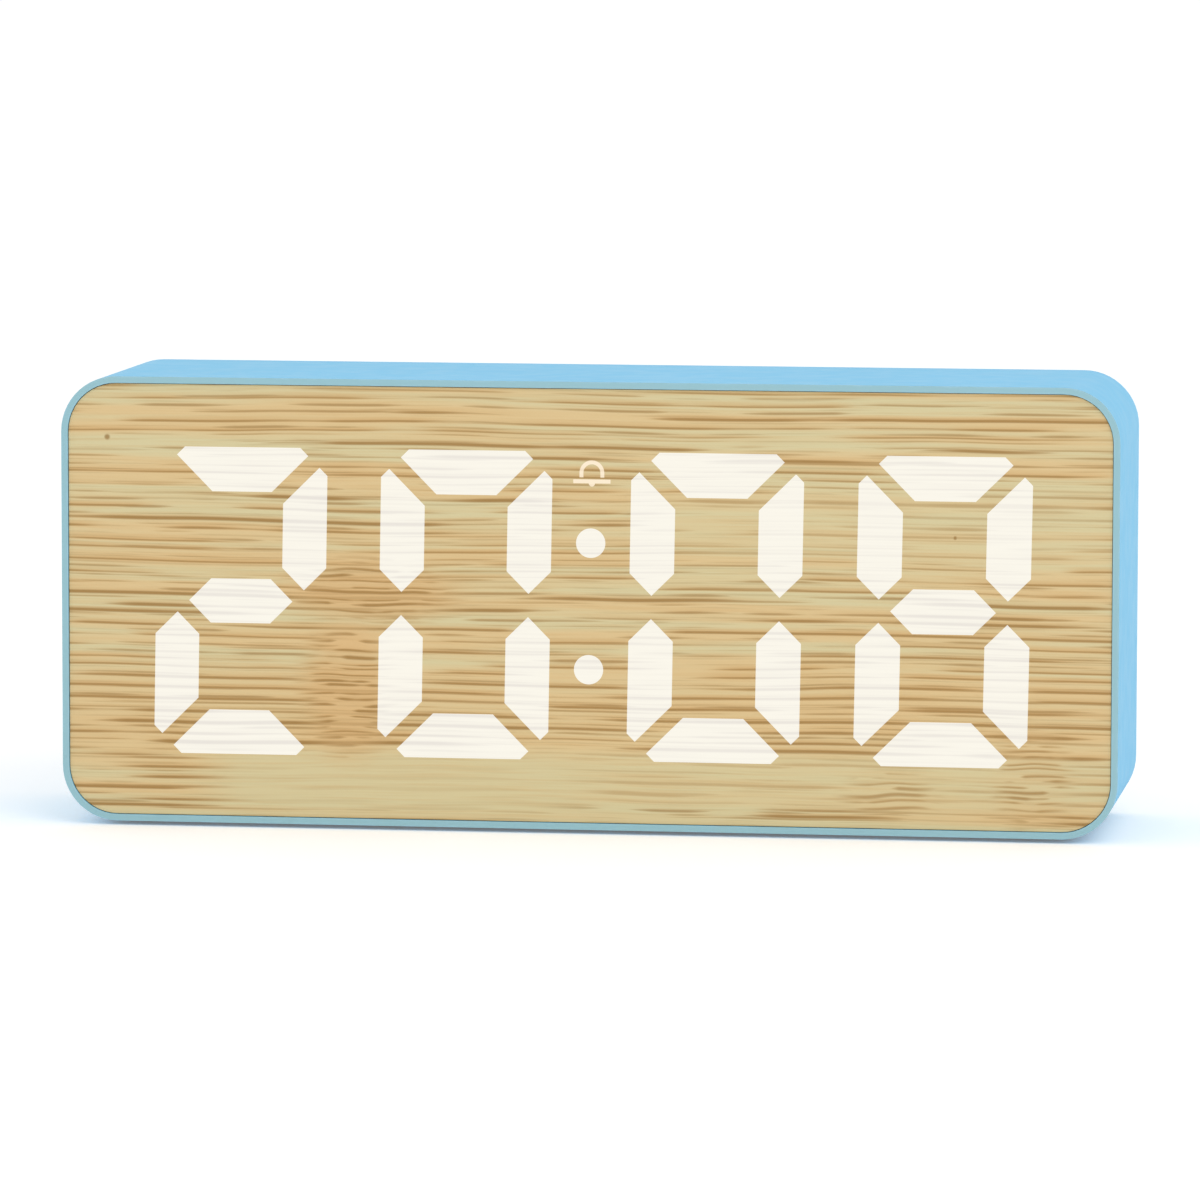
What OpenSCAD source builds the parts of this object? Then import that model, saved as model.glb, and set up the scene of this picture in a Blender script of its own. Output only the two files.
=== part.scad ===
// Digital desk clock: a rounded sleeve with a bamboo face and lit seven-segment digits in front,
// and a recessed rear cover with four buttons, a USB inlet and a hinged battery door.
// Millimetres. +Z is up, the face looks along -Y, and the feet stand on z = 0.
// Depths are measured from the plane of the front lip towards the rear.

/* [Case] */
// Width of the case
case_w = 162; // [158:1:190]
// Height of the case
case_h = 68.3; // [67:0.1:90]
// Depth of the case from front lip to rear rim
case_d = 38; // [36:0.5:60]
// Radius of the long corners
corner_r = 8.5; // [6:0.5:10]
// Wall thickness of the sleeve
wall = 2; // [1.7:0.1:2.4]
// Width of the front lip around the face
lip_w = 1; // [0.8:0.1:1.6]
// Thickness of the ledge that carries the face
ledge_t = 1.8; // [1.4:0.1:2.4]
// Width of the rear rim around the cover
rim_w = 1.2; // [0.8:0.1:1.5]
// How far the feet hold the case off the table
foot_stand = 0.6; // [0.4:0.1:1.5]
// Radius of a rubber foot
foot_r = 4; // [3:0.5:6]
// Depth of the pocket that a foot is glued into
foot_pocket = 0.5; // [0.3:0.1:0.8]
// Distance of the feet from the ends of the case
foot_inset_x = 18; // [12:0.5:30]
// Distance of the feet from the front and rear of the case
foot_inset_y = 10.5; // [8:0.5:13]

/* [Face] */
// How far the face lies behind the lip
face_recess = 0.3; // [0:0.1:0.8]
// Thickness of the bamboo veneer
veneer_t = 0.6; // [0.4:0.1:1.2]
// Thickness of the diffuser panel
diffuser_t = 1.6; // [1:0.1:2.4]
// Gap between the face and the lip
face_fit = 0.1; // [0.05:0.05:0.2]

/* [Digits] */
// Numeral shown for the tens of hours
hour_tens = 2; // [0:1:2]
// Numeral shown for the units of hours
hour_units = 0; // [0:1:9]
// Numeral shown for the tens of minutes
minute_tens = 0; // [0:1:5]
// Numeral shown for the units of minutes
minute_units = 8; // [0:1:9]
// Width of a numeral
digit_w = 26.35; // [24:0.05:28]
// Distance from the top or bottom of the case to the numerals
digit_margin = 10.6; // [10:0.1:13]
// Width of a segment's stroke
stroke = 6.8; // [5:0.1:7.5]
// Gap between two segments, square to their mitre
segment_gap = 2.5; // [1.5:0.1:3]
// Leg of the clipped outer corners
tip_clip = 4.25; // [3.5:0.05:5]
// Distance from an end of the case to the outer numeral
side_margin = 14; // [13:0.1:16]
// Distance between the numerals on each side of the colon
colon_pitch = 38.4; // [36:0.1:40]
// Shift of the whole display to the right
display_shift = 0.6; // [-1:0.1:1]
// Lean of the numerals in degrees
slant = 0.9; // [0:0.1:3]
// Radius of a colon dot
colon_r = 2.25; // [1.5:0.05:3]
// Height of each colon dot above or below the middle
colon_rise = 9.65; // [8:0.05:12]
// Distance of the alarm mark below the top of the numerals
mark_drop = 3.2; // [3:0.1:5]
// Outer radius of the bell in the alarm mark
mark_r = 1.9; // [1.5:0.1:2.2]
// Stroke of the alarm mark
mark_stroke = 0.6; // [0.4:0.1:0.7]

/* [Display module] */
// Depth of the light wells
reflector_d = 6; // [5:0.5:8]
// Width of the reflector's frame around the numerals
reflector_margin = 2.4; // [1.5:0.1:3]
// Gap between the reflector and the ledge
reflector_fit = 0.4; // [0.2:0.1:0.6]
// Thickness of a circuit board
board_t = 1.6; // [1:0.1:2]
// Gap between the display board and the wall
board_gap = 1.1; // [0.5:0.1:1.3]
// Radius of a post under the display board
post_r = 2.6; // [2:0.1:2.8]
// Distance of the outer posts from the middle post
post_spread = 62; // [40:1:66]
// Length of an LED
led_l = 3; // [2:0.1:3.4]
// Width of an LED
led_w = 1.6; // [1:0.1:2]
// Height of an LED
led_t = 0.8; // [0.5:0.1:1.2]

/* [Rear cover] */
// Thickness of the rear cover
cover_t = 2.6; // [2.4:0.1:3]
// How far the cover lies inside the rear rim
cover_recess = 1.2; // [1.2:0.1:2]
// Gap between the cover and the rim
cover_fit = 0.15; // [0.1:0.05:0.25]
// Radius of a screw boss
boss_r = 3.2; // [2.8:0.1:4]
// Length of a screw boss
boss_l = 12; // [11:0.5:16]
// Thickness of the webs that tie a boss to the walls
web_t = 1.6; // [1.2:0.1:2]

/* [Screws] */
// Shank radius of a cover screw
cover_screw_r = 1.2; // [1:0.05:1.5]
// Length of a cover screw under its head
cover_screw_l = 10; // [8:0.5:11]
// Shank radius of a board screw
board_screw_r = 0.95; // [0.8:0.05:1.1]
// Length of a board screw under its head
board_screw_l = 5; // [4:0.5:5.5]
// Head radius of a screw, in shank radii
head_ratio = 2; // [1.8:0.1:2.1]
// Head height of a screw, in shank radii
head_rise = 1.4; // [1.2:0.1:1.5]
// Gap between a screw's shank and its bore
screw_fit = 0.05; // [0.02:0.01:0.1]

/* [Battery bay] */
// Radius of a cell
cell_r = 5.25; // [5:0.05:5.4]
// Length of a cell with its nub
cell_l = 44.5; // [43.5:0.1:45]
// Length of a cell's nub
nub_l = 0.8; // [0.5:0.1:1.2]
// Radius of a cell's nub
nub_r = 1.9; // [1.5:0.1:2.5]
// Gap between two cells
cell_gap = 0.5; // [0.3:0.1:1]
// Room left for a contact spring
spring_room = 5.4; // [4.8:0.1:6]
// Radius of the spring wire
spring_wire_r = 0.3; // [0.2:0.05:0.32]
// Radius of a spring at its plate
spring_base_r = 3.4; // [3:0.1:4]
// Radius of a spring at its cell
spring_tip_r = 2; // [1.5:0.1:2.5]
// Number of turns of a spring
spring_turns = 4; // [3:1:4]
// Thickness of a contact plate
plate_t = 0.4; // [0.3:0.1:0.6]
// Width of a contact plate at one cell
plate_w = 8; // [6:0.5:9]
// Wall thickness of the bay
bay_wall = 2.6; // [2:0.1:3]
// Middle of the bay across the clock
bay_x = -38; // [-39:0.5:-36]
// Thickness of the battery door
door_t = 1.8; // [1.4:0.1:2]
// How far the door overlaps the bay's wall
door_overlap = 1.5; // [1:0.1:1.6]
// Gap around the door
door_fit = 0.25; // [0.15:0.05:0.4]
// Radius of the door's hinge barrel
barrel_r = 1.4; // [1.2:0.05:1.5]
// Radius of the hinge pins
pin_r = 0.9; // [0.7:0.05:1]
// Length of each hinge pin
pin_l = 1.6; // [1.2:0.1:2]
// Gap between a hinge pin and its bore
pin_fit = 0.05; // [0.03:0.01:0.1]
// Gap between the barrel and its trough
barrel_fit = 0.3; // [0.25:0.05:0.4]

/* [Controls] */
// Middle of the key board across the clock
key_x = 37; // [36:0.5:38]
// Width of the key board
key_w = 60; // [58:0.5:61]
// Height of the key board
key_h = 44; // [42:0.5:48]
// Gap between the key board and the cover
key_standoff = 6.7; // [6.5:0.1:8]
// Radius of a key board post
key_post_r = 2.4; // [2.1:0.1:2.8]
// Radius of a button's cap
button_r = 4; // [3:0.1:4.5]
// Distance between two buttons
button_pitch = 13; // [12:0.1:13.5]
// Height of the buttons above the middle
button_rise = 8; // [7:0.5:9]
// How far a button stands proud of the cover
button_proud = 0.9; // [0.6:0.1:1.1]
// Travel of a button
button_travel = 0.5; // [0.3:0.1:0.6]
// Gap between a button and its hole
button_fit = 0.15; // [0.1:0.05:0.3]
// Width of a button's flange around the cap
flange_w = 1; // [0.6:0.1:1.4]
// Thickness of a button's flange
flange_t = 1; // [0.8:0.1:1.2]
// Gap between a button's flange and the collar that guides it
collar_fit = 0.3; // [0.2:0.05:0.4]
// Wall of a button's guide collar
collar_wall = 1; // [0.8:0.1:1.2]
// Side of a switch body
switch_w = 6; // [5:0.1:6.5]
// Height of a switch body
switch_h = 3.5; // [3.2:0.1:3.7]
// Radius of a switch plunger
plunger_r = 1.7; // [1.2:0.1:2]
// How far a plunger stands out of its switch
plunger_rise = 1; // [0.8:0.1:1.2]
// Width of the USB socket
usb_w = 9; // [8.9:0.05:9.2]
// Height of the USB socket
usb_h = 3.3; // [3.2:0.05:3.5]
// Wall of the USB socket
usb_wall = 0.3; // [0.2:0.05:0.4]
// Radius of the buzzer
buzzer_r = 6; // [4.5:0.5:7]
// Gap between the buzzer and the cover
buzzer_gap = 0.7; // [0.4:0.1:1]

/* [Wiring] */
// Number of harness wires
harness_count = 6; // [4:1:6]
// Distance between two harness wires
harness_pitch = 2.5; // [2:0.1:2.6]
// Radius of a harness wire
harness_r = 0.6; // [0.4:0.05:0.7]
// Bend radius of the wires
bend_r = 1.2; // [1:0.1:1.4]
// Width of a harness header
header_w = 17.5; // [16:0.5:20]
// Height of a harness header
header_h = 5.2; // [4:0.1:6]
// How far a header stands off its board
header_l = 4.4; // [4:0.1:5]
// Radius of a battery lead
lead_r = 0.7; // [0.5:0.05:0.8]

/* [Hidden] */
$fn = 64;
// Extra length of a cut past the face that it opens
cut = 0.5;
front_y = -case_d / 2;
mid_z = foot_stand + case_h / 2;

// Depths of the front stack
face_front = face_recess;
diffuser_front = face_front + veneer_t;
ledge_front = diffuser_front + diffuser_t;
ledge_back = ledge_front + ledge_t;
board_front = ledge_front + reflector_d;
board_back = board_front + board_t;

// Outlines of the case and of what it holds
pocket_w = case_w - 2 * lip_w;
pocket_h = case_h - 2 * lip_w;
pocket_r = corner_r - lip_w;
inner_w = case_w - 2 * wall;
inner_h = case_h - 2 * wall;
inner_r = corner_r - wall;
rim_inner_w = case_w - 2 * rim_w;
rim_inner_h = case_h - 2 * rim_w;
rim_inner_r = corner_r - rim_w;

// Numerals: segments a to g, each an outline about the middle of the numeral
half_w = digit_w / 2;
half_h = case_h / 2 - digit_margin;
digit_pitch = case_w / 2 - side_margin - half_w - colon_pitch / 2;
mitre = segment_gap / sqrt(2);
clip_far = (tip_clip + mitre) / 2;
clip_near = (tip_clip - mitre) / 2;
function flipped(points, across, upright) = [for (p = points) [across * p.x, upright * p.y]];
half_top = [
    [half_w - tip_clip, half_h],
    [half_w - clip_far, half_h - clip_near],
    [half_w - stroke - mitre, half_h - stroke]
];
top_segment = concat(half_top, [for (i = [2 : -1 : 0]) [-half_top[i].x, half_top[i].y]]);
side_segment = [
    [half_w - clip_near, half_h - clip_far],
    [half_w, half_h - tip_clip],
    [half_w, mitre + stroke / 2],
    [half_w - stroke / 2, mitre],
    [half_w - stroke, mitre + stroke / 2],
    [half_w - stroke, half_h - stroke - mitre]
];
middle_tip = half_w - stroke / 2 - mitre;
middle_shoulder = half_w - stroke - mitre;
middle_segment = [
    [middle_tip, 0],
    [middle_shoulder, stroke / 2],
    [-middle_shoulder, stroke / 2],
    [-middle_tip, 0],
    [-middle_shoulder, -stroke / 2],
    [middle_shoulder, -stroke / 2]
];
SEGMENTS = [
    top_segment,
    side_segment,
    flipped(side_segment, 1, -1),
    flipped(top_segment, 1, -1),
    flipped(side_segment, -1, -1),
    flipped(side_segment, -1, 1),
    middle_segment
];
ALL_SEGMENTS = [0, 1, 2, 3, 4, 5, 6];
NUMERALS = [
    [0, 1, 2, 3, 4, 5],
    [1, 2],
    [0, 1, 3, 4, 6],
    [0, 1, 2, 3, 6],
    [1, 2, 5, 6],
    [0, 2, 3, 5, 6],
    [0, 2, 3, 4, 5, 6],
    [0, 1, 2],
    ALL_SEGMENTS,
    [0, 1, 2, 3, 5, 6]
];
TIME = [hour_tens, hour_units, minute_tens, minute_units];
digit_x = [for (side = [-1, 1], far = side < 0 ? [1, 0] : [0, 1])
    display_shift + side * (colon_pitch / 2 + far * digit_pitch)];
function leaned(p) = [p.x + p.y * tan(slant), p.y];
mark_rise = half_h - mark_drop;
mark_at = leaned([display_shift, mark_rise]);
mark_well_r = 1.7 * mark_r;
clapper_r = 0.8 * mark_stroke;

// Light wells and the board behind them
reflector_w = 2 * (digit_x[3] + half_w + half_h * tan(slant) + reflector_margin);
reflector_h = 2 * (half_h + reflector_margin);
window_w = reflector_w + 2 * reflector_fit;
window_h = reflector_h + 2 * reflector_fit;
post_z = window_h / 2 + post_r;
POSTS = [for (x = [-1, 0, 1], z = [-1, 1]) [x * post_spread, z * post_z]];
// How much deeper a bore goes than its screw
bore_slack = 0.5;
board_bore_l = board_screw_l - board_t + bore_slack;
// Middle of each segment and whether it lies level
upright_x = half_w - stroke / 2;
level_z = half_h - stroke / 2;
SEGMENT_MIDDLES = [
    [0, level_z], [upright_x, half_h / 2], [upright_x, -half_h / 2], [0, -level_z],
    [-upright_x, -half_h / 2], [-upright_x, half_h / 2], [0, 0]
];
SEGMENT_LEVEL = [true, false, false, true, false, false, true];
led_spread = digit_w / 8;

// Parts on the rear of the display board: place and size
controller_at = [-12, -20];
controller_size = [18, 7.6, 2.4];
DRIVERS_AT = [[-48, -20], [20, -20]];
driver_size = [10, 4, 1.6];
leg_pitch = 1.27;
leg_size = [0.5, 1.2, 0.4];
crystal_at = [-28, -21];
crystal_size = [8, 3.4, 3.2];
capacitor_r = 3.2;
capacitor_l = 7.4;
capacitor_gap = 3;

// Rear cover
cover_out = case_d - cover_recess;
cover_in = cover_out - cover_t;
boss_x = inner_w / 2 - inner_r;
boss_z = inner_h / 2 - inner_r;
BOSSES = [for (x = [-1, 1], z = [-1, 1]) [x * boss_x, z * boss_z]];
cover_head_r = head_ratio * cover_screw_r;
cover_head_h = head_rise * cover_screw_r;
board_head_r = head_ratio * board_screw_r;
board_head_h = head_rise * board_screw_r;
head_gap = 0.3;
// Cross slot of a screw: its depth in head heights and its width in shank radii
cross_depth = 0.45;
cross_width = 0.4;
head_seat = cover_out - cover_head_h - head_gap;

// Battery bay, from the door inwards
cell_pitch = 2 * cell_r + cell_gap;
cell_clear = 0.3;
bay_l = cell_l + spring_room + 2 * plate_t;
bay_h = 3 * cell_pitch;
door_in = cover_out - door_t;
door_seat = door_in - door_fit;
bay_floor = door_in - 2 * cell_clear - 2 * cell_r;
bay_base = bay_floor - bay_wall / 2;
cell_depth = bay_floor + cell_clear + cell_r;
hinge_wall = 0.6;
trough_r = barrel_r + barrel_fit;
hinge_depth = cover_out - barrel_r;
hinge_z = -(bay_h / 2 + hinge_wall + trough_r);
door_w = bay_l + 2 * door_overlap;
door_top = bay_h / 2 + door_overlap;
notch_r = 8;
notch_d = 1.4;
// Each cell: its height and the end that its nub points to
CELLS = [[cell_pitch, 1], [0, -1], [-cell_pitch, 1]];
plate_face = bay_l / 2 - plate_t;
plate_l = 2 * cell_r - 1;
// Contact plates: end of the bay, and the cells that each one serves
PLATES = [[1, [0]], [1, [1, 2]], [-1, [0, 1]], [-1, [2]]];
// The two plates with a solder tail
TERMINALS = [0, 3];
tail_w = 3;
tail_l = 1.2;
tail_end = bay_base - tail_l;
slot_fit = 0.15;

// Key board and what stands on it
key_back = cover_in - key_standoff;
key_front = key_back - board_t;
key_inset = 3.5;
KEY_POSTS = [for (x = [-1, 1], z = [-1, 1])
    [key_x + x * (key_w / 2 - key_inset), z * (key_h / 2 - key_inset)]];
BUTTONS_X = [for (i = [-1.5 : 1 : 1.5]) key_x - i * button_pitch];
switch_top = key_back + switch_h;
plunger_top = switch_top + plunger_rise;
// Length of plunger inside its switch, and the room left under it at full travel
plunger_hold = 0.5;
plunger_slack = 0.3;
plunger_foot = switch_top - plunger_hold;
plunger_fit = 0.15;
switch_well = plunger_foot - button_travel - plunger_slack;
flange_gap = 0.2;
flange_back = cover_in - flange_gap;
flange_front = flange_back - flange_t;
collar_r = button_r + flange_w + collar_fit;
stem_r = 2;
cap_out = cover_out + button_proud;
sign_d = 0.3;
usb_at = [key_x - 13, -12];
usb_recess = 0.4;
usb_base_t = 1.5;
usb_out = cover_out - usb_recess;
usb_floor = key_back + usb_base_t;
usb_fit = 0.2;
tongue_w = 6.6;
tongue_h = 0.7;
tongue_recess = 0.8;
tongue_out = usb_out - tongue_recess;
buzzer_at = [key_x + 12, -11];
buzzer_l = key_standoff - buzzer_gap;
buzzer_hole_r = 1;
slit_w = 1.1;
slit_l = 7;
slit_pitch = 2.2;

// Wiring between the boards and the bay
header_shift = 15;
header_x = key_x + header_shift;
display_header_z = 9;
key_header_z = -5;
capacitor_x = header_x + header_w / 2 + capacitor_gap + capacitor_r;
CAPACITORS_AT = [for (i = [0, 1]) [capacitor_x, i * (2 * capacitor_r + capacitor_gap)]];
harness_from = board_back + header_l;
harness_to = key_front - header_l;
harness_lead = (harness_to - harness_from) / 2 - bend_r;
lead_stub = 0.3;
lead_run = tail_end - bend_r - lead_stub;
lead_end_x = key_x - key_w / 2 + 5;

// A flat outline across the clock, drawn out between two depths
module slab(from, to) {
    translate([0, front_y + to, mid_z]) rotate([90, 0, 0]) linear_extrude(to - from) children();
}

// A rod along the width, centred at a depth and a height
module rod(length, r, depth, rise, x = 0) {
    translate([x - length / 2, front_y + depth, mid_z + rise]) rotate([0, 90, 0]) cylinder(h = length, r = r);
}

module rounded(w, h, r) {
    square([w - 2 * r, h], center = true);
    square([w, h - 2 * r], center = true);
    for (x = [-1, 1], z = [-1, 1]) {
        translate([x * (w / 2 - r), z * (h / 2 - r)]) circle(r);
    }
}

module stadium(w, h) {
    square([w - h, h], center = true);
    for (x = [-1, 1]) translate([x * (w - h) / 2, 0]) circle(h / 2);
}

module digit_outline(place, segments) {
    translate([digit_x[place], 0]) {
        for (s = segments) polygon([for (p = SEGMENTS[s]) leaned(p)]);
    }
}

module colon_outline() {
    for (z = [-1, 1]) translate(leaned([display_shift, z * colon_rise])) circle(colon_r);
}

// A bell: an open arch over a bar, with a clapper below
module mark_outline() {
    leg_l = mark_r - 2 * mark_stroke;
    translate(mark_at) {
        intersection() {
            difference() {
                circle(mark_r);
                circle(mark_r - mark_stroke);
            }
            translate([0, mark_r]) square(2 * mark_r, center = true);
        }
        for (x = [-1, 1]) {
            translate([x * (mark_r - mark_stroke / 2), -leg_l / 2])
                square([mark_stroke, leg_l], center = true);
        }
        translate([0, -leg_l - mark_stroke]) square([3 * mark_r, mark_stroke], center = true);
        translate([0, -leg_l - 1.5 * mark_stroke]) circle(clapper_r);
    }
}

module lit_outline() {
    for (place = [0 : 3]) digit_outline(place, NUMERALS[TIME[place]]);
    colon_outline();
    mark_outline();
}

// A pan-head screw along the depth; the head points to the rear, or to the front when turned
module screw(shank_r, length, at, seat, turned = false) {
    head_h = head_rise * shank_r;
    recess = cross_depth * head_h;
    way = turned ? -1 : 1;
    translate([at.x, front_y + seat, mid_z + at.y]) rotate([way * -90, 0, 0]) difference() {
        union() {
            translate([0, 0, -length]) cylinder(h = length, r = shank_r);
            cylinder(h = head_h, r = head_ratio * shank_r);
        }
        for (turn = [0, 90]) {
            rotate(turn) translate([0, 0, head_h - recess / 2 + cut / 2])
                cube([2 * shank_r, cross_width * shank_r, recess + cut], center = true);
        }
    }
}

module case_shell() color([0.58, 0.81, 0.92]) difference() {
    union() {
        difference() {
            slab(0, case_d) rounded(case_w, case_h, corner_r);
            slab(-cut, ledge_front) rounded(pocket_w, pocket_h, pocket_r);
            slab(0, ledge_back + cut) square([window_w, window_h], center = true);
            slab(ledge_back, case_d + cut) rounded(inner_w, inner_h, inner_r);
            slab(cover_in, case_d + cut) rounded(rim_inner_w, rim_inner_h, rim_inner_r);
        }
        for (at = POSTS) slab(ledge_front, board_front) translate(at) circle(post_r);
        slab(cover_in - boss_l, cover_in) for (at = BOSSES) {
            translate(at) circle(boss_r);
            reach = inner_r + wall / 2;
            translate([at.x + sign(at.x) * reach / 2, at.y]) square([reach, web_t], center = true);
            translate([at.x, at.y + sign(at.y) * reach / 2]) square([web_t, reach], center = true);
        }
    }
    for (at = POSTS) {
        slab(board_front - board_bore_l, board_front + cut) translate(at) circle(board_screw_r + screw_fit);
    }
    for (at = BOSSES) {
        slab(head_seat - cover_screw_l - bore_slack, cover_in + cut) translate(at)
            circle(cover_screw_r + screw_fit);
    }
    feet_outline(foot_stand - cut, foot_stand + foot_pocket, face_fit);
}

module feet_outline(from, to, fit) {
    for (x = [-1, 1], y = [-1, 1]) {
        translate([x * (case_w / 2 - foot_inset_x), y * (case_d / 2 - foot_inset_y), from])
            cylinder(h = to - from, r = foot_r + fit);
    }
}

module rubber_feet() color([0.16, 0.16, 0.17]) feet_outline(0, foot_stand + foot_pocket, 0);

module bamboo_face() color([0.84, 0.75, 0.55]) slab(face_front, diffuser_front) difference() {
    rounded(pocket_w - 2 * face_fit, pocket_h - 2 * face_fit, pocket_r - face_fit);
    lit_outline();
}

module lit_digit(place) color([0.98, 0.96, 0.92]) slab(face_front, diffuser_front) {
    digit_outline(place, NUMERALS[TIME[place]]);
}

module colon_dots() color([0.98, 0.96, 0.92]) slab(face_front, diffuser_front) colon_outline();

module alarm_mark() color([0.98, 0.92, 0.8]) slab(face_front, diffuser_front) mark_outline();

module diffuser_panel() color([0.93, 0.93, 0.9]) slab(diffuser_front, ledge_front) {
    rounded(pocket_w - 2 * face_fit, pocket_h - 2 * face_fit, pocket_r - face_fit);
}

module segment_reflector() color("white") slab(ledge_front, board_front) difference() {
    square([reflector_w, reflector_h], center = true);
    for (place = [0 : 3]) digit_outline(place, ALL_SEGMENTS);
    colon_outline();
    translate(mark_at) circle(mark_well_r);
}

module segment_leds() color([0.95, 0.9, 0.6]) slab(board_front - led_t, board_front) {
    for (place = [0 : 3], s = ALL_SEGMENTS, side = [-1, 1]) {
        level = SEGMENT_LEVEL[s];
        step = side * led_spread * (level ? [1, 0] : [0, 1]);
        translate([digit_x[place], 0] + leaned(SEGMENT_MIDDLES[s] + step))
            square(level ? [led_l, led_w] : [led_w, led_l], center = true);
    }
    for (rise = [-colon_rise, colon_rise, mark_rise]) {
        translate(leaned([display_shift, rise])) square([led_l, led_w], center = true);
    }
}

module display_board() color([0.1, 0.36, 0.2]) slab(board_front, board_back) difference() {
    rounded(inner_w - 2 * board_gap, inner_h - 2 * board_gap, inner_r - board_gap);
    for (at = POSTS) translate(at) circle(board_screw_r + 4 * screw_fit);
}

module board_screws() color("silver") {
    for (at = POSTS) screw(board_screw_r, board_screw_l, at, board_back);
}

// A flat package on the rear of the display board, with a row of legs along each long side
module chip(at, size) {
    slab(board_back, board_back + size.z) translate(at) square([size.x, size.y], center = true);
    count = floor(size.x / leg_pitch) - 1;
    slab(board_back, board_back + leg_size.z) for (i = [0 : count - 1], side = [-1, 1]) {
        translate(at + [(i - (count - 1) / 2) * leg_pitch, side * size.y / 2])
            square([leg_size.x, 2 * leg_size.y], center = true);
    }
}

module controller_chip() color([0.12, 0.12, 0.13]) chip(controller_at, controller_size);

module driver_chips() color([0.12, 0.12, 0.13]) {
    for (at = DRIVERS_AT) chip(at, driver_size);
}

module crystal() color("silver") slab(board_back, board_back + crystal_size.z) translate(crystal_at) {
    stadium(crystal_size.x, crystal_size.y);
}

module capacitors() color([0.15, 0.18, 0.3]) slab(board_back, board_back + capacitor_l) {
    for (at = CAPACITORS_AT) translate(at) circle(capacitor_r);
}

module display_header() color([0.92, 0.9, 0.84]) slab(board_back, harness_from) {
    translate([header_x, display_header_z]) square([header_w, header_h], center = true);
}

module key_header() color([0.92, 0.9, 0.84]) slab(harness_to, key_front) {
    translate([header_x, key_header_z]) square([header_w, header_h], center = true);
}

// Quarter bend of a wire about the origin, from the first axis to the second
module wire_bend(r) rotate_extrude(angle = 90) translate([bend_r, 0]) circle(r);

// One harness wire: out of the display header, down, and into the key header
module harness_wire() {
    drop = display_header_z - key_header_z - 2 * bend_r;
    middle = harness_from + harness_lead + bend_r;
    rotate([90, 0, 90]) {
        translate([harness_from, display_header_z]) rotate([0, 90, 0])
            cylinder(h = harness_lead, r = harness_r);
        translate([harness_from + harness_lead, display_header_z - bend_r]) wire_bend(harness_r);
        translate([middle, key_header_z + bend_r]) rotate([-90, 0, 0]) cylinder(h = drop, r = harness_r);
        translate([middle + bend_r, key_header_z + bend_r]) rotate(180) wire_bend(harness_r);
        translate([middle + bend_r, key_header_z]) rotate([0, 90, 0])
            cylinder(h = harness_lead, r = harness_r);
    }
}

module harness_wires() color([0.75, 0.2, 0.18]) {
    for (i = [0 : harness_count - 1]) {
        translate([header_x + (i - (harness_count - 1) / 2) * harness_pitch, front_y, mid_z]) harness_wire();
    }
}

module rear_cover() color([0.55, 0.78, 0.9]) difference() {
    union() {
        slab(cover_in, cover_out) {
            rounded(rim_inner_w - 2 * cover_fit, rim_inner_h - 2 * cover_fit, rim_inner_r - cover_fit);
        }
        slab(bay_base, cover_in + cut) translate([bay_x, 0]) {
            square([bay_l + 2 * bay_wall, bay_h + 2 * bay_wall], center = true);
        }
        slab(hinge_depth - trough_r - bay_wall / 2, cover_in + cut) translate([bay_x, hinge_z]) {
            square([bay_l + 2 * bay_wall, 2 * (trough_r + bay_wall / 2)], center = true);
        }
        for (at = KEY_POSTS) slab(key_back, cover_in + cut) translate(at) circle(key_post_r);
        slab(key_back, cover_in + cut) for (x = BUTTONS_X) {
            translate([x, button_rise]) circle(collar_r + collar_wall);
        }
    }
    slab(bay_floor, cover_out + cut) translate([bay_x, 0]) square([bay_l, bay_h], center = true);
    door_recess();
    cover_openings();
    for (at = BOSSES) {
        slab(cover_in - cut, cover_out + cut) translate(at) circle(cover_screw_r + 4 * screw_fit);
        slab(head_seat, cover_out + cut) translate(at) circle(cover_head_r + head_gap);
    }
    for (at = KEY_POSTS) {
        slab(key_back - cut, key_back + board_bore_l) translate(at) circle(board_screw_r + screw_fit);
    }
    for (i = TERMINALS) slab(bay_base - cut, bay_floor + cut) tail_outline(i, slot_fit);
}

// Space for the door, its barrel and its pins, and the notch for a fingertip
module door_recess() {
    recess_w = door_w + 2 * door_fit;
    recess_h = door_top + door_fit - hinge_z;
    slab(door_seat, cover_out + cut) translate([bay_x, hinge_z + recess_h / 2]) {
        square([recess_w, recess_h], center = true);
    }
    slab(hinge_depth, cover_out + cut) translate([bay_x, hinge_z - trough_r / 2]) {
        square([recess_w, trough_r], center = true);
    }
    rod(recess_w, trough_r, hinge_depth, hinge_z, bay_x);
    rod(door_w + 2 * pin_l + 2 * door_fit, pin_r + pin_fit, hinge_depth, hinge_z, bay_x);
    slab(cover_out - notch_d, cover_out + cut) intersection() {
        translate([bay_x, door_top]) circle(notch_r);
        translate([bay_x, door_top + notch_r / 4]) square([2 * notch_r, notch_r], center = true);
    }
}

// Holes for the buttons and their guides, the USB socket and the buzzer's sound
module cover_openings() {
    slab(key_back - cut, cover_in) for (x = BUTTONS_X) translate([x, button_rise]) circle(collar_r);
    slab(cover_in - cut, cover_out + cut) {
        for (x = BUTTONS_X) translate([x, button_rise]) circle(button_r + button_fit);
        translate(usb_at) stadium(usb_w + 2 * usb_fit, usb_h + 2 * usb_fit);
        for (i = [-2 : 2]) translate(buzzer_at + [i * slit_pitch, 0]) square([slit_w, slit_l], center = true);
    }
}

module cover_screws() color("silver") {
    for (at = BOSSES) screw(cover_screw_r, cover_screw_l, at, head_seat);
}

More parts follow.
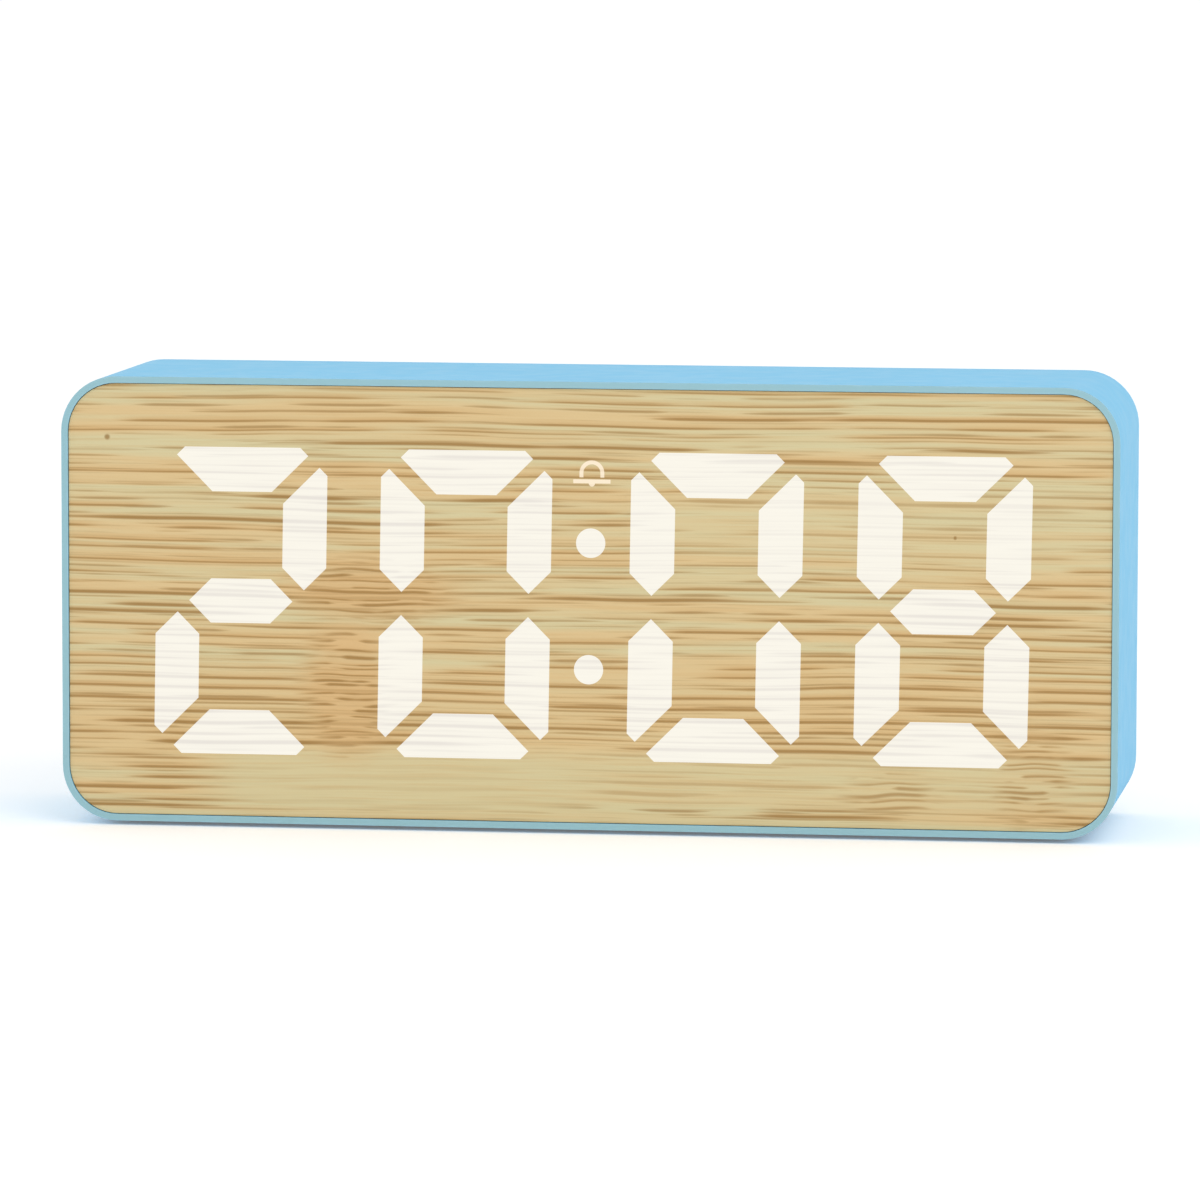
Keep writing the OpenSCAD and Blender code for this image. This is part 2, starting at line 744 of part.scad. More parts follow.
module battery_door() color([0.55, 0.78, 0.9]) {
    slab(door_in, cover_out) translate([bay_x, (door_top + hinge_z) / 2]) {
        square([door_w, door_top - hinge_z], center = true);
    }
    rod(door_w, barrel_r, hinge_depth, hinge_z, bay_x);
    rod(door_w + 2 * pin_l, pin_r, hinge_depth, hinge_z, bay_x);
    for (i = [1 : 3]) rod(2 * notch_r, door_t / 4, cover_out, door_top - i * door_t, bay_x);
}

module battery_cells() color([0.75, 0.74, 0.7]) {
    for (cell = CELLS) {
        translate([bay_x, front_y + cell_depth, mid_z + cell[0]]) rotate([0, cell[1] * 90, 0]) {
            translate([0, 0, plate_face - nub_l]) cylinder(h = nub_l, r = nub_r);
            translate([0, 0, plate_face - cell_l]) cylinder(h = cell_l - nub_l, r = cell_r);
        }
    }
}

// Contact spring: a tapering coil along +X, from its plate to its cell
SPRING_RINGS = 8;
SPRING_SIDES = 6;
spring_steps = SPRING_RINGS * spring_turns;
spring_touch = 0.05;
spring_reach = spring_room - 2 * (spring_wire_r + spring_touch);
function spring_r(i) = spring_base_r + (spring_tip_r - spring_base_r) * i / spring_steps;
function spring_point(i) = let (turn = 360 * i / SPRING_RINGS) [
    spring_wire_r + spring_touch + spring_reach * i / spring_steps,
    spring_r(i) * cos(turn),
    spring_r(i) * sin(turn)
];
function spring_ring(i) = let (turn = 360 * i / SPRING_RINGS) [
    for (k = [0 : SPRING_SIDES - 1]) let (side = 360 * k / SPRING_SIDES)
        spring_point(i) + spring_wire_r * [sin(side), cos(side) * cos(turn), cos(side) * sin(turn)]
];
SPRING_POINTS = [for (i = [0 : spring_steps]) each spring_ring(i)];
function spring_corner(i, k) = i * SPRING_SIDES + k % SPRING_SIDES;
SPRING_FACES = concat(
    [for (i = [0 : spring_steps - 1], k = [0 : SPRING_SIDES - 1])
        [spring_corner(i, k), spring_corner(i + 1, k), spring_corner(i + 1, k + 1)]],
    [for (i = [0 : spring_steps - 1], k = [0 : SPRING_SIDES - 1])
        [spring_corner(i, k), spring_corner(i + 1, k + 1), spring_corner(i, k + 1)]],
    [for (k = [1 : SPRING_SIDES - 2]) [0, k, k + 1]],
    [for (k = [1 : SPRING_SIDES - 2])
        [spring_corner(spring_steps, 0), spring_corner(spring_steps, k + 1), spring_corner(spring_steps, k)]]
);
spring_gap = min([for (i = [0 : spring_steps], j = [i + SPRING_RINGS / 2 : 1 : spring_steps])
    norm(spring_point(i) - spring_point(j))]) - 2 * spring_wire_r;
echo(least_gap_between_spring_turns = spring_gap);

module contact_springs() color("silver") {
    for (cell = CELLS) {
        translate([bay_x - cell[1] * plate_face, front_y + cell_depth, mid_z + cell[0]])
            rotate(cell[1] > 0 ? 0 : 180) polyhedron(SPRING_POINTS, SPRING_FACES);
    }
}

module tail_outline(i, fit) {
    side = PLATES[i][0];
    translate([bay_x + side * (bay_l - plate_t) / 2, CELLS[PLATES[i][1][0]][0]]) {
        square([plate_t + 2 * fit, tail_w + 2 * fit], center = true);
    }
}

module contact_plates() color("silver") {
    for (plate = PLATES) {
        rises = [for (cell = plate[1]) CELLS[cell][0]];
        slab(cell_depth - plate_l / 2, cell_depth + plate_l / 2) {
            translate([bay_x + plate[0] * (bay_l - plate_t) / 2, (max(rises) + min(rises)) / 2])
                square([plate_t, max(rises) - min(rises) + plate_w], center = true);
        }
    }
    for (i = TERMINALS) slab(tail_end, cell_depth) tail_outline(i, 0);
}

// Battery leads: from a solder tail, along the front of the bay, to the key board
module battery_leads() color([0.7, 0.1, 0.1]) {
    for (i = TERMINALS) {
        from_x = bay_x + PLATES[i][0] * (bay_l - plate_t) / 2;
        rise = CELLS[PLATES[i][1][0]][0];
        run = lead_end_x - from_x - 2 * bend_r;
        translate([0, front_y, mid_z + rise]) {
            translate([from_x, lead_run + bend_r]) rotate([-90, 0, 0])
                cylinder(h = tail_end - lead_run - bend_r, r = lead_r);
            translate([from_x + bend_r, lead_run + bend_r]) rotate(180) wire_bend(lead_r);
            translate([from_x + bend_r, lead_run]) rotate([0, 90, 0]) cylinder(h = run, r = lead_r);
            translate([lead_end_x - bend_r, lead_run + bend_r]) rotate(270) wire_bend(lead_r);
            translate([lead_end_x, lead_run + bend_r]) rotate([-90, 0, 0])
                cylinder(h = key_front - lead_run - bend_r, r = lead_r);
        }
    }
}

module key_board() color([0.1, 0.36, 0.2]) slab(key_front, key_back) difference() {
    translate([key_x, 0]) square([key_w, key_h], center = true);
    for (at = KEY_POSTS) translate(at) circle(board_screw_r + 4 * screw_fit);
}

module key_board_screws() color("silver") {
    for (at = KEY_POSTS) screw(board_screw_r, board_screw_l, at, key_front, true);
}

module switch_bodies() color([0.2, 0.2, 0.21]) difference() {
    slab(key_back, switch_top) for (x = BUTTONS_X) {
        translate([x, button_rise]) square(switch_w, center = true);
    }
    slab(switch_well, switch_top + cut) for (x = BUTTONS_X) {
        translate([x, button_rise]) circle(plunger_r + plunger_fit);
    }
}

module plunger(i) color([0.1, 0.1, 0.1]) slab(plunger_foot, plunger_top) {
    translate([BUTTONS_X[i], button_rise]) circle(plunger_r);
}

// Signs sunk into the caps: a ring, an upward and a downward triangle, and a dot
module button_sign(i) {
    sign_r = button_r / 2;
    if (i == 0) difference() {
        circle(sign_r);
        circle(sign_r / 2);
    }
    if (i == 1 || i == 2) rotate(i == 1 ? 90 : -90) circle(sign_r, $fn = 3);
    if (i == 3) circle(sign_r / 2);
}

module button(i) color([0.93, 0.94, 0.95]) translate([BUTTONS_X[i], 0, button_rise]) difference() {
    union() {
        slab(plunger_top, flange_back) circle(stem_r);
        slab(flange_front, flange_back) circle(button_r + flange_w);
        slab(flange_front, cap_out) circle(button_r);
    }
    slab(cap_out - sign_d, cap_out + cut) button_sign(i);
}

module usb_socket() color("silver") difference() {
    slab(key_back, usb_out) translate(usb_at) stadium(usb_w, usb_h);
    slab(usb_floor, usb_out + cut) translate(usb_at) stadium(usb_w - 2 * usb_wall, usb_h - 2 * usb_wall);
}

module usb_tongue() color([0.1, 0.1, 0.1]) slab(usb_floor, tongue_out) translate(usb_at) {
    square([tongue_w, tongue_h], center = true);
}

module buzzer() color([0.12, 0.12, 0.12]) difference() {
    slab(key_back, key_back + buzzer_l) translate(buzzer_at) circle(buzzer_r);
    slab(key_back + buzzer_l / 2, key_back + buzzer_l + cut) translate(buzzer_at) circle(buzzer_hole_r);
}

case_shell();
bamboo_face();
lit_digit(0);  // hour_tens_segments
lit_digit(1);  // hour_units_segments
lit_digit(2);  // minute_tens_segments
lit_digit(3);  // minute_units_segments
colon_dots();
alarm_mark();
diffuser_panel();
segment_reflector();
segment_leds();
display_board();
board_screws();
controller_chip();
driver_chips();
crystal();
capacitors();
display_header();
key_header();
harness_wires();
rear_cover();
cover_screws();
battery_door();
battery_cells();
contact_springs();
contact_plates();
battery_leads();
key_board();
key_board_screws();
switch_bodies();
plunger(0);  // plunger_mode
plunger(1);  // plunger_up
plunger(2);  // plunger_down
plunger(3);  // plunger_alarm
button(0);  // button_mode
button(1);  // button_up
button(2);  // button_down
button(3);  // button_alarm
usb_socket();
usb_tongue();
buzzer();
rubber_feet();
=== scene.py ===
"""Digital desk clock: camera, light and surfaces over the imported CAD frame."""

import math

import bpy
from mathutils import Matrix, Vector

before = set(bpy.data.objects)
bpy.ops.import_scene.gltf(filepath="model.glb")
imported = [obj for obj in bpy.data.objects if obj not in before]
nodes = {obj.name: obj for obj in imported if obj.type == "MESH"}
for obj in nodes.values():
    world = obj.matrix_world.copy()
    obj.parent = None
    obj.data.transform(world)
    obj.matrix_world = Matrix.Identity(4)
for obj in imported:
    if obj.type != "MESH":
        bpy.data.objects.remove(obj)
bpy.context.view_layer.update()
MM = 0.001


def tone(red, green, blue):
    """A colour given as screen values from 0 to 255, as the linear RGBA that a socket takes."""
    screen = [v / 255 for v in (red, green, blue)]
    linear = [v / 12.92 if v <= 0.04045 else ((v + 0.055) / 1.055) ** 2.4 for v in screen]
    return (*linear, 1.0)


# Tones that more than one surface takes

WHITE = (1.0, 1.0, 1.0, 1.0)
SKY = tone(127, 201, 238)
INK = tone(38, 38, 41)
STEEL = tone(196, 196, 198)


# Camera

CAMERA_AT = Vector((0.16923, -1.18798, 0.15512))
AZIMUTH, ELEVATION, ROLL = (math.radians(a) for a in (8.13, 5.77, 0.10))
LENS_MM = 234.8
SENSOR_MM = 36.0
CLIP_NEAR, CLIP_FAR = 0.05, 50.0


def add_camera():
    forward = Vector((
        -math.sin(AZIMUTH) * math.cos(ELEVATION),
        math.cos(AZIMUTH) * math.cos(ELEVATION),
        -math.sin(ELEVATION),
    ))
    level = Vector((math.cos(AZIMUTH), math.sin(AZIMUTH), 0.0))
    upright = level.cross(forward)
    right = math.cos(ROLL) * level + math.sin(ROLL) * upright
    up = math.cos(ROLL) * upright - math.sin(ROLL) * level
    turn = Matrix((right, up, -forward)).transposed()
    data = bpy.data.cameras.new("camera")
    data.lens, data.sensor_width = LENS_MM, SENSOR_MM
    data.clip_start, data.clip_end = CLIP_NEAR, CLIP_FAR
    camera = bpy.data.objects.new("camera", data)
    camera.matrix_world = Matrix.Translation(CAMERA_AT) @ turn.to_4x4()
    bpy.context.collection.objects.link(camera)
    bpy.context.scene.camera = camera


# Shader building

# The range that most values of a noise lie in
NOISE_SPAN = (0.3, 0.7)


class Shader:
    """One Principled material. Inputs are numbers, colours or sockets of other nodes."""

    # Places of the colour sockets of a Mix node
    MIX_A, MIX_B, MIX_RESULT = 6, 7, 2

    def __init__(self, name):
        self.material = bpy.data.materials.new(name)
        self.material.use_nodes = True
        self.tree = self.material.node_tree
        self.surface = self.tree.nodes["Principled BSDF"]
        scaled = self.add("VectorMath", operation="SCALE")
        self.fill(scaled, Vector=self.add("TexCoord").outputs["Object"], Scale=1 / MM)
        self.place = scaled.outputs["Vector"]
        parts = self.add("SeparateXYZ")
        self.fill(parts, Vector=self.place)
        self.x, self.y, self.z = parts.outputs

    def add(self, kind, **settings):
        node = self.tree.nodes.new("ShaderNode" + kind)
        for key, value in settings.items():
            setattr(node, key, value)
        return node

    def feed(self, socket, value):
        if isinstance(value, bpy.types.NodeSocket):
            self.tree.links.new(value, socket)
        else:
            socket.default_value = value

    def fill(self, node, **inputs):
        """Feeds the sockets of a node, named with underscores for spaces."""
        for key, value in inputs.items():
            self.feed(node.inputs[key.replace("_", " ")], value)

    def math(self, operation, *values):
        node = self.add("Math", operation=operation)
        for socket, value in zip(node.inputs, values):
            self.feed(socket, value)
        return node.outputs[0]

    def ramp(self, value, low, high, to_low=0.0, to_high=1.0):
        """A smooth step from to_low at low to to_high at high."""
        node = self.add("MapRange", interpolation_type="SMOOTHSTEP")
        self.fill(node, Value=value, From_Min=low, From_Max=high, To_Min=to_low, To_Max=to_high)
        return node.outputs["Result"]

    def mix(self, share, a, b):
        node = self.add("Mix", data_type="RGBA")
        self.fill(node, Factor=share)
        self.feed(node.inputs[self.MIX_A], a)
        self.feed(node.inputs[self.MIX_B], b)
        return node.outputs[self.MIX_RESULT]

    def vector(self, x, y, z):
        node = self.add("CombineXYZ")
        self.fill(node, X=x, Y=y, Z=z)
        return node.outputs["Vector"]

    def noise(self, vector, scale=1.0, detail=0.0, roughness=0.5):
        node = self.add("TexNoise")
        self.fill(node, Vector=vector, Scale=scale, Detail=detail, Roughness=roughness)
        return node.outputs["Fac"]

    def cloud(self, scale, detail, to_low=0.0, to_high=1.0):
        """Noise at the place, spread from to_low to to_high."""
        return self.ramp(self.noise(self.place, scale, detail), *NOISE_SPAN, to_low, to_high)

    def bump(self, height, depth_mm, strength):
        node = self.add("Bump")
        self.fill(node, Strength=strength, Distance=depth_mm * MM, Height=height)
        self.fill(self.surface, Normal=node.outputs["Normal"])

    def finish(self, **inputs):
        """Fills the Principled node and returns the material."""
        self.fill(self.surface, **inputs)
        return self.material


# Floor and light

FLOOR_Z = -0.05 * MM
FLOOR_HALF = 6.0
FLOOR_SHADES = (0.985, 1.0)
# Light that the floor adds for the rays that see it, so that it meets the white of the world
FLOOR_LIFT = 0.14
# Strength of the world for the rays that light the object, and for those that see it
WORLD_LIGHT, WORLD_SHOWN = 0.88, 1.0
KEY_LAMP = dict(at=(0.6, -0.9, 1.0), aim=(0.0, 0.0, 0.03), size=0.8, watts=3.2)


def seen_directly(tree):
    """1 for camera, glossy and transmission rays, 0 for the rays that light the object."""
    path = tree.nodes.new("ShaderNodeLightPath").outputs
    shown = path["Is Camera Ray"]
    for other in ("Is Glossy Ray", "Is Transmission Ray"):
        either = tree.nodes.new("ShaderNodeMath")
        either.operation = "MAXIMUM"
        tree.links.new(shown, either.inputs[0])
        tree.links.new(path[other], either.inputs[1])
        shown = either.outputs[0]
    return shown


def add_floor():
    mesh = bpy.data.meshes.new("floor")
    signs = ((-1, -1), (1, -1), (1, 1), (-1, 1))
    mesh.from_pydata([(x * FLOOR_HALF, y * FLOOR_HALF, FLOOR_Z) for x, y in signs], [], [(0, 1, 2, 3)])
    floor = bpy.data.objects.new("floor", mesh)
    bpy.context.collection.objects.link(floor)
    s = Shader("floor")
    grey = s.cloud(0.4, 3.0, *FLOOR_SHADES)
    shade = s.add("CombineColor")
    s.fill(shade, Red=grey, Green=grey, Blue=grey)
    lift = s.math("MULTIPLY", seen_directly(s.tree), FLOOR_LIFT)
    floor.data.materials.append(s.finish(
        Base_Color=shade.outputs["Color"], Roughness=0.9, Specular_IOR_Level=0.0,
        Emission_Color=WHITE, Emission_Strength=lift))


def add_world():
    world = bpy.data.worlds.new("studio")
    bpy.context.scene.world = world
    world.use_nodes = True
    tree = world.node_tree
    background = tree.nodes["Background"]
    background.inputs["Color"].default_value = WHITE
    strength = tree.nodes.new("ShaderNodeMapRange")
    strength.inputs["To Min"].default_value = WORLD_LIGHT
    strength.inputs["To Max"].default_value = WORLD_SHOWN
    tree.links.new(seen_directly(tree), strength.inputs["Value"])
    tree.links.new(strength.outputs["Result"], background.inputs["Strength"])


def add_softbox(name, at, aim, size, watts):
    data = bpy.data.lights.new(name, "AREA")
    data.shape, data.size, data.energy = "SQUARE", size, watts
    lamp = bpy.data.objects.new(name, data)
    lamp.location = at
    lamp.rotation_euler = (Vector(aim) - Vector(at)).to_track_quat("-Z", "Y").to_euler()
    bpy.context.collection.objects.link(lamp)


# Bamboo. Places on the face are given across and up, in mm

LIGHT_CANE = tone(215, 203, 158)
WARM_CANE = tone(224, 190, 136)
KNOT_CANE = tone(220, 178, 122)
STREAK_HALO = tone(206, 164, 104)
STREAK_CORE = tone(150, 113, 56)
# The largest share that bands, fibres, halos and cores take of the colour below them
BAND_SHARE, FIBRE_SHARE, HALO_SHARE, CORE_SHARE = 0.7, 0.22, 0.66, 0.8

# Patches where short dashes break up the streaks: middle, half size, strength of the dashes and warmth
# of the cane between them
KNOTS = (
    ((-33.0, 36.5), (12.0, 4.6), 1.0, 0.6),
    ((-36.5, 22.0), (6.5, 10.0), 1.0, 0.6),
    ((46.5, 6.5), (6.5, 3.6), 0.68, 0.1),
    ((68.0, 9.5), (5.5, 7.0), 0.78, 0.15),
)
# Share of the long streaks that a knot breaks up
KNOT_BREAKS = 0.6
# Pale stretches of the cane: middle, half size and the share of the streaks that is gone there
BARE = (
    ((-29.0, 7.4), (29.0, 4.7), 0.85),
    ((38.0, 8.6), (42.0, 4.2), 0.6),
    ((46.0, 47.5), (36.0, 5.0), 0.5),
)
# A stretch across the whole face where the cane is warm and the streaks stand close
WARM_AT, WARM_HALF, WARM_SHARE = (0.0, 18.6), (95.0, 6.4), 0.7
CLOSER = 0.06
# Share of the bands that still shows in the warm stretch
BANDS_IN_WARM = 0.4
# Two dark specks: place and radius
SPECKS = (((-73.9, 59.6), 0.4), ((56.2, 46.0), 0.27))
# Power of the distance that a patch is drawn with: an ellipse, or a box with round corners
ELLIPSE, BOX = 2.0, 5.0
# Softness of a patch's edge, as a share of its half size
KNOT_SOFT, STRETCH_SOFT, SPECK_SOFT = 0.45, 0.2, 0.5

# Rows of streaks: distance between rows, length and thickness of a streak, a shift that gives each kind its
# own draw, and the values of the noise along a row at which a streak starts and is full
BROAD_ROWS = dict(pitch=1.65, length=26.0, thickness=0.42, shift=11.0, least=0.39, most=0.57)
NARROW_ROWS = dict(pitch=1.15, length=17.0, thickness=0.30, shift=23.0, least=0.43, most=0.63)
HAIR_ROWS = dict(pitch=0.75, length=14.0, thickness=0.22, shift=31.0, least=0.40, most=0.66)
KNOT_ROWS = dict(pitch=0.9, length=6.4, thickness=0.42, shift=37.0, least=0.34, most=0.52)
# Strength of the narrow rows, of the hairs and of the narrow rows' halos beside the broad rows
NARROW_SHARE, HAIR_SHARE, NARROW_HALO = 0.75, 0.32, 0.5
# Where a streak lies in its row and how far its halo reaches up and down, as shares of the pitch
STREAK_LOW, STREAK_SPAN = 0.2, 0.5
HALO_UP, HALO_DOWN = 0.62, 0.2
# How far apart the rows are drawn from the noise, along a row and from row to row
ROW_SLIDE, ROW_STEP = 90.0, 3.7
# Least share of the given thickness that a streak has, and half the thickness of its tips
LEAST_WIDTH, TIP_HALF = 0.5, 0.04
# Distance from a streak's middle at which its core ends and is full, as shares of half its thickness
CORE_EDGE = (1.25, 0.35)
# Shares of a core's darkness that follow its place along the streak and the thickness of the streak
CORE_ALONG, CORE_BY_WIDTH = 0.7, 0.3
# Part of a streak's weight over which its tips fade
TIP_FADE = 0.35

# Slow waves that move the rows up and down: length and height of a wave, its reach, and a shift for its draw
LONG_WAVE = dict(length=60.0, height=16.0, reach=1.5, shift=3.1)
SHORT_WAVE = dict(length=14.0, height=5.0, reach=0.35, shift=5.6)
KNOT_WAVE = dict(length=7.0, height=4.0, reach=0.9, shift=7.7)
GRAIN_ROUGHNESS = 0.4
BAND_EDGE = (0.36, 0.64)


def patch(s, middle, half, soft, power=ELLIPSE):
    """1 inside a patch of the face, 0 outside it."""
    def apart(place, at, reach):
        off = s.math("ABSOLUTE", s.math("SUBTRACT", place, at))
        return s.math("POWER", s.math("DIVIDE", off, reach), power)

    away = s.math("ADD", apart(s.x, middle[0], half[0]), apart(s.z, middle[1], half[1]))
    return s.ramp(s.math("POWER", away, 1 / power), 1.0 + soft, 1.0 - soft)


def streak_rows(s, z, pitch, length, thickness, shift, least, most, closer=0.0):
    """Rows of dark streaks that taper to their ends. Returns their cores and their soft halos."""
    level = s.math("DIVIDE", s.math("ADD", z, shift), pitch)
    row = s.math("FLOOR", level)
    dice = s.add("TexWhiteNoise", noise_dimensions="1D")
    s.fill(dice, W=s.math("ADD", row, shift))
    drawn = s.add("SeparateColor")
    s.fill(drawn, Color=dice.outputs["Color"])
    middle, slide, width = drawn.outputs
    across = s.math("ADD", s.math("DIVIDE", s.x, length), s.math("MULTIPLY", slide, ROW_SLIDE))
    place = s.vector(across, s.math("MULTIPLY", row, ROW_STEP), shift)
    along = s.noise(place, detail=1.0, roughness=GRAIN_ROUGHNESS)
    weight = s.ramp(s.math("ADD", along, closer), least, most)

    lies_at = s.math("ADD", s.math("MULTIPLY", middle, STREAK_SPAN), STREAK_LOW)
    above = s.math("SUBTRACT", s.math("SUBTRACT", level, row), lies_at)
    above = s.math("MULTIPLY", above, pitch)
    half = s.math("MULTIPLY", s.math("ADD", width, LEAST_WIDTH), thickness / 2)
    half = s.math("ADD", s.math("MULTIPLY", half, weight), TIP_HALF)
    core = s.ramp(s.math("DIVIDE", s.math("ABSOLUTE", above), half), *CORE_EDGE)
    by_width = s.math("MULTIPLY", width, CORE_BY_WIDTH)
    core = s.math("MULTIPLY", core, s.math("ADD", s.math("MULTIPLY", weight, CORE_ALONG), by_width))
    core = s.math("MULTIPLY", core, s.ramp(weight, 0.0, TIP_FADE))

    upward = s.math("DIVIDE", above, HALO_UP * pitch)
    downward = s.math("DIVIDE", above, -HALO_DOWN * pitch)
    halo = s.math("MULTIPLY", s.ramp(s.math("MAXIMUM", upward, downward), 1.0, 0.0), weight)
    return core, halo


def regions(s):
    """Shares of the knots' dashes, of their warmth, of the streaks that are left and of the warm stretch."""
    knots = warmth = 0.0
    for middle, half, strength, warm in KNOTS:
        inside = patch(s, middle, half, KNOT_SOFT)
        knots = s.math("MAXIMUM", knots, s.math("MULTIPLY", inside, strength))
        warmth = s.math("MAXIMUM", warmth, s.math("MULTIPLY", inside, warm))
    left = 1.0
    for middle, half, gone in BARE:
        inside = patch(s, middle, half, STRETCH_SOFT, BOX)
        left = s.math("MULTIPLY", left, s.math("SUBTRACT", 1.0, s.math("MULTIPLY", inside, gone)))
    warm_stretch = s.math("MULTIPLY", patch(s, WARM_AT, WARM_HALF, STRETCH_SOFT, BOX), WARM_SHARE)
    return knots, warmth, left, warm_stretch


def grain(s):
    """Sockets for the streaks' cores and halos, the bands of colour, the fibres and the warm knots."""
    def stretched(length, height, z, detail=1.0, shift=0.0):
        place = s.vector(s.math("DIVIDE", s.x, length), shift, s.math("DIVIDE", z, height))
        return s.noise(place, detail=detail, roughness=GRAIN_ROUGHNESS)

    def waved(z, length, height, reach, shift):
        sway = s.math("SUBTRACT", stretched(length, height, s.z, 0.0, shift), 0.5)
        return s.math("ADD", z, s.math("MULTIPLY", sway, reach))

    knots, warmth, left, warm_stretch = regions(s)
    closer = s.math("MULTIPLY", warm_stretch, CLOSER)
    clear = s.math("MULTIPLY", left, s.math("SUBTRACT", 1.0, s.math("MULTIPLY", knots, KNOT_BREAKS)))
    z = waved(waved(s.z, **LONG_WAVE), **SHORT_WAVE)
    core, halo = streak_rows(s, z, closer=closer, **BROAD_ROWS)
    narrow_core, narrow_halo = streak_rows(s, z, closer=closer, **NARROW_ROWS)
    hair, _ = streak_rows(s, z, closer=closer, **HAIR_ROWS)
    core = s.math("MAXIMUM", core, s.math("MULTIPLY", narrow_core, NARROW_SHARE))
    core = s.math("MAXIMUM", core, s.math("MULTIPLY", hair, HAIR_SHARE))
    halo = s.math("MAXIMUM", halo, s.math("MULTIPLY", narrow_halo, NARROW_HALO))
    dash_core, dash_halo = streak_rows(s, waved(s.z, **KNOT_WAVE), **KNOT_ROWS)
    core = s.math("MAXIMUM", s.math("MULTIPLY", core, clear), s.math("MULTIPLY", dash_core, knots))
    halo = s.math("MAXIMUM", s.math("MULTIPLY", halo, clear), s.math("MULTIPLY", dash_halo, knots))
    for at, radius in SPECKS:
        core = s.math("MAXIMUM", core, patch(s, at, (radius, radius), SPECK_SOFT))

    band = s.ramp(stretched(length=90.0, height=2.4, z=z, shift=6.0), *BAND_EDGE)
    band = s.math("MULTIPLY", band, left)
    warm_band = s.math("ADD", s.math("MULTIPLY", band, BANDS_IN_WARM), warm_stretch)
    band = s.math("MAXIMUM", band, warm_band)
    fibre = stretched(length=16.0, height=0.34, z=z, detail=2.0, shift=2.2)
    return core, halo, band, fibre, warmth


def bamboo():
    s = Shader("bamboo")
    core, halo, band, fibre, warmth = grain(s)
    cane = s.mix(s.math("MULTIPLY", band, BAND_SHARE), LIGHT_CANE, WARM_CANE)
    cane = s.mix(warmth, cane, KNOT_CANE)
    cane = s.mix(s.ramp(fibre, 0.42, 0.75, 0.0, FIBRE_SHARE), cane, STREAK_HALO)
    cane = s.mix(s.math("MULTIPLY", halo, HALO_SHARE), cane, STREAK_HALO)
    cane = s.mix(s.math("MULTIPLY", core, CORE_SHARE), cane, STREAK_CORE)
    relief = s.math("ADD", s.math("MULTIPLY", core, -0.6), fibre)
    s.bump(relief, depth_mm=0.04, strength=0.5)
    roughness = s.ramp(core, 0.0, 1.0, to_low=0.5, to_high=0.65)
    return s.finish(Base_Color=cane, Roughness=roughness, Specular_IOR_Level=0.3)


def lit(name, glow, shade):
    """Light that comes through the veneer, with its streaks showing faintly."""
    s = Shader(name)
    core, halo, _, fibre, _ = grain(s)
    veil = s.math("ADD", s.math("MULTIPLY", core, 0.3), s.math("MULTIPLY", halo, 0.08))
    veil = s.math("ADD", veil, s.ramp(fibre, 0.4, 0.8, to_low=0.0, to_high=0.08))
    s.bump(fibre, depth_mm=0.03, strength=0.3)
    return s.finish(Base_Color=tone(40, 38, 36), Roughness=0.6, Specular_IOR_Level=0.2,
                    Emission_Color=s.mix(veil, glow, shade), Emission_Strength=0.96)


# Plastics, metals and the rest

# Cosines of the angle between a face and its rounded edge, where rubbing starts and is full
RUB_COSINES = (0.99, 0.86)
RUB_RADIUS_MM, RUB_SHARE, RUB_PALER = 0.5, 0.4, 1.25
# Painted shade: a greyer tone laid on the front face of the case's lip in place of the shade that falls
# there
LIP_SHADE = tone(163, 193, 190)
# Depths at which the painted shade on the front lip starts and is full, and its share there
LIP_SHADE_START_Y, LIP_SHADE_FULL_Y, LIP_SHADE_SHARE = -18.8, -18.95, 0.7


def shaded(colour, share):
    """A colour made darker, or paler with a share over 1."""
    if share > 1:
        return (*(c + (1 - c) * (share - 1) for c in colour[:3]), 1.0)
    return (*(c * share for c in colour[:3]), 1.0)


def rubbed_edges(s):
    """1 along worn edges, broken up by noise."""
    rounded = s.add("Bevel", samples=4)
    s.fill(rounded, Radius=RUB_RADIUS_MM * MM)
    flat = s.add("VectorMath", operation="DOT_PRODUCT")
    s.feed(flat.inputs[0], rounded.outputs["Normal"])
    s.feed(flat.inputs[1], s.add("NewGeometry").outputs["Normal"])
    edge = s.ramp(flat.outputs["Value"], *RUB_COSINES)
    return s.math("MULTIPLY", edge, s.ramp(s.noise(s.place, 0.5, 3.0), 0.35, 0.65))


def mottled(s, colour, share=0.95, grain_mm=16.0):
    """A colour with the slow unevenness of a moulding."""
    return s.mix(s.cloud(1 / grain_mm, 3.0), shaded(colour, share), colour)


def uneven(s, roughness, spread=0.05, grain_mm=4.0):
    """A roughness that varies a little from place to place."""
    return s.cloud(1 / grain_mm, 4.0, roughness - spread, roughness + spread)


def pebbled(s, size_mm, depth_mm, strength=0.6):
    s.bump(s.noise(s.place, 1 / size_mm, 2.0), depth_mm, strength)


def moulded(name, colour, roughness, pebble_mm=0.35, depth_mm=0.012, shine=0.5):
    """Moulded plastic with a fine spark-eroded texture."""
    s = Shader(name)
    pebbled(s, pebble_mm, depth_mm)
    return s.finish(Base_Color=mottled(s, colour), Roughness=uneven(s, roughness),
                    Specular_IOR_Level=shine)


